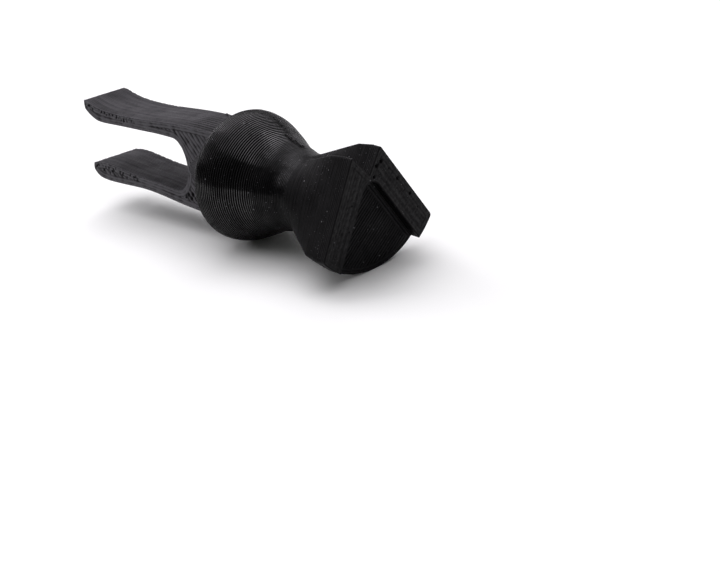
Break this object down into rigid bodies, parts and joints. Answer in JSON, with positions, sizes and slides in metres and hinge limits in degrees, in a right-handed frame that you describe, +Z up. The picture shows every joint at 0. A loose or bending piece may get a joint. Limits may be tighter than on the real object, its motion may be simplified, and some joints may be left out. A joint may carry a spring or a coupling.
{
  "type": "clay stamp",
  "caption": "Double-ended clay stamp with a two-tine fork, a turned grip and a flared head that prints an M-shaped chevron.",
  "frame": {"origin": "under the middle of the tool's length, on the surface that the bulb and the head's lower edge lie on", "axes": "+X along the tool towards the die, which leans down by 2 degrees as the tool lies, +Y across the wings, +Z up"},
  "size_m": [0.0564, 0.0178, 0.0172],
  "materials": {
    "black_plastic": "satin"
  },
  "bodies": {
    "root": {"fork": "black_plastic", "grip": "black_plastic", "stamp_head": "black_plastic", "chevron_die": "black_plastic"}
  },
  "joints": []
}
